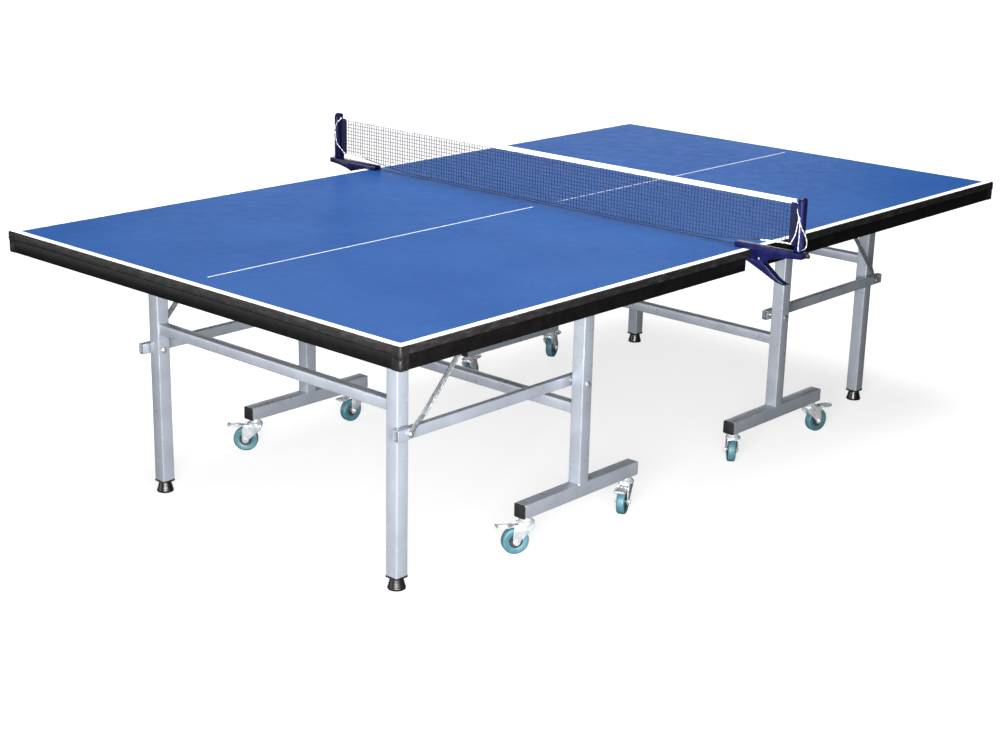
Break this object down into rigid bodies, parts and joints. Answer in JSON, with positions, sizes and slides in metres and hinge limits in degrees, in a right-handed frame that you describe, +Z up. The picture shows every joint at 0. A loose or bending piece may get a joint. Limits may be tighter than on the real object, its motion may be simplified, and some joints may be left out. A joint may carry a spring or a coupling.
{
  "type": "folding table tennis table",
  "caption": "Folding table tennis table: hinged blue halves on linked tube frames with casters, and a clamp-on net.",
  "frame": {"origin": "on the floor, under the middle of the net line", "axes": "+X along the playing length toward half B, +Y across the table, +Z up"},
  "size_m": [2.7464, 1.882, 0.9215],
  "materials": {
    "surface": "fibreboard with a satin blue playing coat",
    "edge_paint": "black powder coat",
    "steel": "silver grey paint, satin",
    "zinc": "bright zinc",
    "foot_rubber": "moulded black rubber",
    "tyre": "grey-green soft tyre",
    "net_mesh": "knotless dark blue netting",
    "clamp_paint": "dark blue enamel, glossy",
    "cord": "white braided cord"
  },
  "bodies": {
    "caster_frame_a": {"half_a_left_post_frame": "steel", "half_a_right_post_frame": "steel", "half_a_post_crossbar": "steel"},
    "top_a": {"half_a_board": "surface", "half_a_edge_frame": "edge_paint", "half_a_left_slide_rail": "steel", "half_a_right_slide_rail": "steel", "net_cloth": "net_mesh", "net_left_bracket": "clamp_paint", "net_right_bracket": "clamp_paint", "net_left_tension_cord": "cord", "net_right_tension_cord": "cord"},
    "leg_frame_a": {"half_a_leg_frame": "steel"},
    "links_a": {"half_a_left_link": "steel", "half_a_right_link": "steel"},
    "braces_a": {"half_a_left_brace": "steel", "half_a_right_brace": "steel"},
    "foot_a_left": {"half_a_left_foot": "foot_rubber"},
    "caster_a_left_inner_fork": {"half_a_left_inner_caster_fork": "zinc"},
    "caster_a_left_inner_wheel": {"half_a_left_inner_caster_wheel": "tyre"},
    "caster_a_left_inner_pedal": {"half_a_left_inner_caster_pedal": "zinc"},
    "caster_a_left_outer_fork": {"half_a_left_outer_caster_fork": "zinc"},
    "caster_a_left_outer_wheel": {"half_a_left_outer_caster_wheel": "tyre"},
    "caster_a_left_outer_pedal": {"half_a_left_outer_caster_pedal": "zinc"},
    "foot_a_right": {"half_a_right_foot": "foot_rubber"},
    "caster_a_right_inner_fork": {"half_a_right_inner_caster_fork": "zinc"},
    "caster_a_right_inner_wheel": {"half_a_right_inner_caster_wheel": "tyre"},
    "caster_a_right_inner_pedal": {"half_a_right_inner_caster_pedal": "zinc"},
    "caster_a_right_outer_fork": {"half_a_right_outer_caster_fork": "zinc"},
    "caster_a_right_outer_wheel": {"half_a_right_outer_caster_wheel": "tyre"},
    "caster_a_right_outer_pedal": {"half_a_right_outer_caster_pedal": "zinc"},
    "caster_frame_b": {"half_b_left_post_frame": "steel", "half_b_right_post_frame": "steel", "half_b_post_crossbar": "steel"},
    "top_b": {"half_b_board": "surface", "half_b_edge_frame": "edge_paint", "half_b_left_slide_rail": "steel", "half_b_right_slide_rail": "steel"},
    "leg_frame_b": {"half_b_leg_frame": "steel"},
    "links_b": {"half_b_left_link": "steel", "half_b_right_link": "steel"},
    "braces_b": {"half_b_left_brace": "steel", "half_b_right_brace": "steel"},
    "foot_b_left": {"half_b_left_foot": "foot_rubber"},
    "caster_b_left_inner_fork": {"half_b_left_inner_caster_fork": "zinc"},
    "caster_b_left_inner_wheel": {"half_b_left_inner_caster_wheel": "tyre"},
    "caster_b_left_inner_pedal": {"half_b_left_inner_caster_pedal": "zinc"},
    "caster_b_left_outer_fork": {"half_b_left_outer_caster_fork": "zinc"},
    "caster_b_left_outer_wheel": {"half_b_left_outer_caster_wheel": "tyre"},
    "caster_b_left_outer_pedal": {"half_b_left_outer_caster_pedal": "zinc"},
    "foot_b_right": {"half_b_right_foot": "foot_rubber"},
    "caster_b_right_inner_fork": {"half_b_right_inner_caster_fork": "zinc"},
    "caster_b_right_inner_wheel": {"half_b_right_inner_caster_wheel": "tyre"},
    "caster_b_right_inner_pedal": {"half_b_right_inner_caster_pedal": "zinc"},
    "caster_b_right_outer_fork": {"half_b_right_outer_caster_fork": "zinc"},
    "caster_b_right_outer_wheel": {"half_b_right_outer_caster_wheel": "tyre"},
    "caster_b_right_outer_pedal": {"half_b_right_outer_caster_pedal": "zinc"},
    "net_left_clamp_lever": {"net_left_lever": "clamp_paint"},
    "net_right_clamp_lever": {"net_right_lever": "clamp_paint"}
  },
  "joints": [
    {"name": "fold_a", "type": "hinge", "parent": "caster_frame_a", "child": "top_a", "pos_m": [-0.476, 0, 0.712], "axis": [0, 1, 0], "range_deg": [0, 90], "deforming": ["net_cloth"]},
    {"name": "legs_a", "type": "hinge", "parent": "top_a", "child": "leg_frame_a", "pos_m": [-1.095, 0, 0.712], "axis": [0, 1, 0], "range_deg": [-90, 0]},
    {"name": "links_a_swing", "type": "hinge", "parent": "caster_frame_a", "child": "links_a", "pos_m": [-0.476, 0, 0.427], "axis": [0, 1, 0], "range_deg": [0, 90]},
    {"name": "braces_a_swing", "type": "hinge", "parent": "leg_frame_a", "child": "braces_a", "pos_m": [-1.095, 0, 0.427], "axis": [0, 1, 0], "range_deg": [0, 136.6]},
    {"name": "foot_a_left_screw", "type": "slide", "parent": "leg_frame_a", "child": "foot_a_left", "axis": [0, 0, -1], "range_m": [0, 0.012]},
    {"name": "caster_a_left_inner_swivel", "type": "hinge", "parent": "caster_frame_a", "child": "caster_a_left_inner_fork", "pos_m": [-0.262, 0.5533, 0.05], "axis": [0, 0, 1], "continuous": true},
    {"name": "caster_a_left_inner_roll", "type": "hinge", "parent": "caster_a_left_inner_fork", "child": "caster_a_left_inner_wheel", "pos_m": [-0.292, 0.5533, 0.0375], "axis": [0, -1, 0], "continuous": true},
    {"name": "caster_a_left_inner_brake", "type": "hinge", "parent": "caster_a_left_inner_fork", "child": "caster_a_left_inner_pedal", "pos_m": [-0.289, 0.5533, 0.079], "axis": [0, -1, 0], "range_deg": [0, 12]},
    {"name": "caster_a_left_outer_swivel", "type": "hinge", "parent": "caster_frame_a", "child": "caster_a_left_outer_fork", "pos_m": [-0.69, 0.5533, 0.05], "axis": [0, 0, 1], "continuous": true},
    {"name": "caster_a_left_outer_roll", "type": "hinge", "parent": "caster_a_left_outer_fork", "child": "caster_a_left_outer_wheel", "pos_m": [-0.71007, 0.57559, 0.0375], "axis": [-0.7431, -0.6691, 0], "continuous": true},
    {"name": "caster_a_left_outer_brake", "type": "hinge", "parent": "caster_a_left_outer_fork", "child": "caster_a_left_outer_pedal", "pos_m": [-0.70807, 0.57337, 0.079], "axis": [-0.7431, -0.6691, 0], "range_deg": [0, 12]},
    {"name": "foot_a_right_screw", "type": "slide", "parent": "leg_frame_a", "child": "foot_a_right", "axis": [0, 0, -1], "range_m": [0, 0.012]},
    {"name": "caster_a_right_inner_swivel", "type": "hinge", "parent": "caster_frame_a", "child": "caster_a_right_inner_fork", "pos_m": [-0.262, -0.5533, 0.05], "axis": [0, 0, 1], "continuous": true},
    {"name": "caster_a_right_inner_roll", "type": "hinge", "parent": "caster_a_right_inner_fork", "child": "caster_a_right_inner_wheel", "pos_m": [-0.28919, -0.56598, 0.0375], "axis": [0.4226, -0.9063, 0], "continuous": true},
    {"name": "caster_a_right_inner_brake", "type": "hinge", "parent": "caster_a_right_inner_fork", "child": "caster_a_right_inner_pedal", "pos_m": [-0.28647, -0.56471, 0.079], "axis": [0.4226, -0.9063, 0], "range_deg": [0, 12]},
    {"name": "caster_a_right_outer_swivel", "type": "hinge", "parent": "caster_frame_a", "child": "caster_a_right_outer_fork", "pos_m": [-0.69, -0.5533, 0.05], "axis": [0, 0, 1], "continuous": true},
    {"name": "caster_a_right_outer_roll", "type": "hinge", "parent": "caster_a_right_outer_fork", "child": "caster_a_right_outer_wheel", "pos_m": [-0.71598, -0.5383, 0.0375], "axis": [-0.5, -0.866, 0], "continuous": true},
    {"name": "caster_a_right_outer_brake", "type": "hinge", "parent": "caster_a_right_outer_fork", "child": "caster_a_right_outer_pedal", "pos_m": [-0.71338, -0.5398, 0.079], "axis": [-0.5, -0.866, 0], "range_deg": [0, 12]},
    {"name": "fold_b", "type": "hinge", "parent": "caster_frame_b", "child": "top_b", "pos_m": [0.476, 0, 0.712], "axis": [0, -1, 0], "range_deg": [0, 90]},
    {"name": "legs_b", "type": "hinge", "parent": "top_b", "child": "leg_frame_b", "pos_m": [1.095, 0, 0.712], "axis": [0, -1, 0], "range_deg": [-90, 0]},
    {"name": "links_b_swing", "type": "hinge", "parent": "caster_frame_b", "child": "links_b", "pos_m": [0.476, 0, 0.427], "axis": [0, -1, 0], "range_deg": [0, 90]},
    {"name": "braces_b_swing", "type": "hinge", "parent": "leg_frame_b", "child": "braces_b", "pos_m": [1.095, 0, 0.427], "axis": [0, -1, 0], "range_deg": [0, 136.6]},
    {"name": "foot_b_left_screw", "type": "slide", "parent": "leg_frame_b", "child": "foot_b_left", "axis": [0, 0, -1], "range_m": [0, 0.012]},
    {"name": "caster_b_left_inner_swivel", "type": "hinge", "parent": "caster_frame_b", "child": "caster_b_left_inner_fork", "pos_m": [0.262, 0.5533, 0.05], "axis": [0, 0, 1], "continuous": true},
    {"name": "caster_b_left_inner_roll", "type": "hinge", "parent": "caster_b_left_inner_fork", "child": "caster_b_left_inner_wheel", "pos_m": [0.29019, 0.56356, 0.0375], "axis": [-0.342, 0.9397, 0], "continuous": true},
    {"name": "caster_b_left_inner_brake", "type": "hinge", "parent": "caster_b_left_inner_fork", "child": "caster_b_left_inner_pedal", "pos_m": [0.28737, 0.56254, 0.079], "axis": [-0.342, 0.9397, 0], "range_deg": [0, 12]},
    {"name": "caster_b_left_outer_swivel", "type": "hinge", "parent": "caster_frame_b", "child": "caster_b_left_outer_fork", "pos_m": [0.69, 0.5533, 0.05], "axis": [0, 0, 1], "continuous": true},
    {"name": "caster_b_left_outer_roll", "type": "hinge", "parent": "caster_b_left_outer_fork", "child": "caster_b_left_outer_wheel", "pos_m": [0.71819, 0.56356, 0.0375], "axis": [-0.342, 0.9397, 0], "continuous": true},
    {"name": "caster_b_left_outer_brake", "type": "hinge", "parent": "caster_b_left_outer_fork", "child": "caster_b_left_outer_pedal", "pos_m": [0.71537, 0.56254, 0.079], "axis": [-0.342, 0.9397, 0], "range_deg": [0, 12]},
    {"name": "foot_b_right_screw", "type": "slide", "parent": "leg_frame_b", "child": "foot_b_right", "axis": [0, 0, -1], "range_m": [0, 0.012]},
    {"name": "caster_b_right_inner_swivel", "type": "hinge", "parent": "caster_frame_b", "child": "caster_b_right_inner_fork", "pos_m": [0.262, -0.5533, 0.05], "axis": [0, 0, 1], "continuous": true},
    {"name": "caster_b_right_inner_roll", "type": "hinge", "parent": "caster_b_right_inner_fork", "child": "caster_b_right_inner_wheel", "pos_m": [0.28498, -0.53402, 0.0375], "axis": [-0.6428, 0.766, 0], "continuous": true},
    {"name": "caster_b_right_inner_brake", "type": "hinge", "parent": "caster_b_right_inner_fork", "child": "caster_b_right_inner_pedal", "pos_m": [0.28268, -0.53595, 0.079], "axis": [-0.6428, 0.766, 0], "range_deg": [0, 12]},
    {"name": "caster_b_right_outer_swivel", "type": "hinge", "parent": "caster_frame_b", "child": "caster_b_right_outer_fork", "pos_m": [0.69, -0.5533, 0.05], "axis": [0, 0, 1], "continuous": true},
    {"name": "caster_b_right_outer_roll", "type": "hinge", "parent": "caster_b_right_outer_fork", "child": "caster_b_right_outer_wheel", "pos_m": [0.71898, -0.56107, 0.0375], "axis": [0.2588, 0.9659, 0], "continuous": true},
    {"name": "caster_b_right_outer_brake", "type": "hinge", "parent": "caster_b_right_outer_fork", "child": "caster_b_right_outer_pedal", "pos_m": [0.71608, -0.56029, 0.079], "axis": [0.2588, 0.9659, 0], "range_deg": [0, 12]},
    {"name": "half_b_roll", "type": "slide", "parent": "caster_frame_a", "child": "caster_frame_b", "axis": [1, 0, 0], "range_m": [0, 0.6]},
    {"name": "net_left_clamp", "type": "hinge", "parent": "top_a", "child": "net_left_clamp_lever", "pos_m": [-0.017, 0.7945, 0.74], "axis": [1, 0, 0], "range_deg": [0, 15], "stiffness_Nm_per_rad": 3, "springref_deg": -8.59},
    {"name": "net_right_clamp", "type": "hinge", "parent": "top_a", "child": "net_right_clamp_lever", "pos_m": [-0.017, -0.7945, 0.74], "axis": [-1, 0, 0], "range_deg": [0, 15], "stiffness_Nm_per_rad": 3, "springref_deg": -8.59}
  ],
  "couplings": [
    {"joint": "legs_a", "follows": "fold_a", "ratio": -1},
    {"joint": "links_a_swing", "follows": "fold_a", "ratio": 1},
    {"joint": "braces_a_swing", "follows": "fold_a", "ratio": 1.5178},
    {"joint": "legs_b", "follows": "fold_b", "ratio": -1},
    {"joint": "links_b_swing", "follows": "fold_b", "ratio": 1},
    {"joint": "braces_b_swing", "follows": "fold_b", "ratio": 1.5178}
  ]
}
